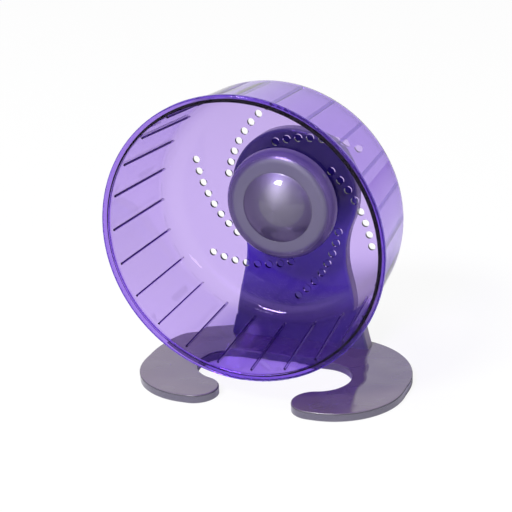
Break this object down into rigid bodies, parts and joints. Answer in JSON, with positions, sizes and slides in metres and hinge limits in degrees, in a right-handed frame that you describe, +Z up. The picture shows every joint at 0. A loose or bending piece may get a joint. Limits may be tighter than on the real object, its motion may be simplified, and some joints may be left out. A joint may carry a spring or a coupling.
{
  "type": "rodent exercise wheel",
  "caption": "Clear violet running drum for a small pet, turning on a ball-bearing axle held by a keyhole-shaped upright on a crescent-armed base.",
  "frame": {"origin": "middle of the object's bounding box in plan, on the surface it stands on", "axes": "+Z up, -Y towards the open running side of the drum, +X to the right seen from that side"},
  "size_m": [0.165, 0.1024, 0.1835],
  "materials": {
    "violet_clear": "clear violet moulded plastic, polished",
    "smoke_clear": "smoke-violet translucent moulded plastic, glossy",
    "hub_smoke": "smoke-violet plastic, matt ring and glossy dome",
    "housing_plastic": "matt moulded plastic",
    "pad_rubber": "soft matt rubber",
    "zinc_steel": "zinc-plated steel",
    "bearing_steel": "ground bearing steel",
    "pressed_steel": "pressed sheet steel"
  },
  "bodies": {
    "stand": {"base_tray": "smoke_clear", "foot_pads": "pad_rubber", "base_screws": "zinc_steel", "upright_shell": "smoke_clear", "upright_back_cover": "smoke_clear", "back_cover_screws": "zinc_steel", "axle_bolt": "zinc_steel", "axle_nut": "zinc_steel", "axle_washer": "zinc_steel", "race_spacer": "zinc_steel", "rear_spacer": "zinc_steel", "front_bearing_inner_race": "bearing_steel", "rear_bearing_inner_race": "bearing_steel"},
    "wheel": {"wheel_drum": "violet_clear", "hub_housing": "housing_plastic", "hub_ring": "hub_smoke", "hub_dome": "hub_smoke", "hub_screws": "zinc_steel", "front_bearing_outer_race": "bearing_steel", "rear_bearing_outer_race": "bearing_steel", "front_bearing_shields": "pressed_steel", "rear_bearing_shields": "pressed_steel"},
    "front_cage": {"front_bearing_cage": "pressed_steel", "front_bearing_balls": "bearing_steel"},
    "rear_cage": {"rear_bearing_cage": "pressed_steel", "rear_bearing_balls": "bearing_steel"}
  },
  "joints": [
    {"name": "wheel_spin", "type": "hinge", "parent": "stand", "child": "wheel", "pos_m": [0, 0.0195, 0.101], "axis": [0, 1, 0], "continuous": true},
    {"name": "front_cage_spin", "type": "hinge", "parent": "stand", "child": "front_cage", "pos_m": [0, 0.0195, 0.101], "axis": [0, 1, 0], "continuous": true},
    {"name": "rear_cage_spin", "type": "hinge", "parent": "stand", "child": "rear_cage", "pos_m": [0, 0.0195, 0.101], "axis": [0, 1, 0], "continuous": true}
  ],
  "couplings": [
    {"joint": "front_cage_spin", "follows": "wheel_spin", "ratio": 0.632},
    {"joint": "rear_cage_spin", "follows": "wheel_spin", "ratio": 0.632}
  ]
}
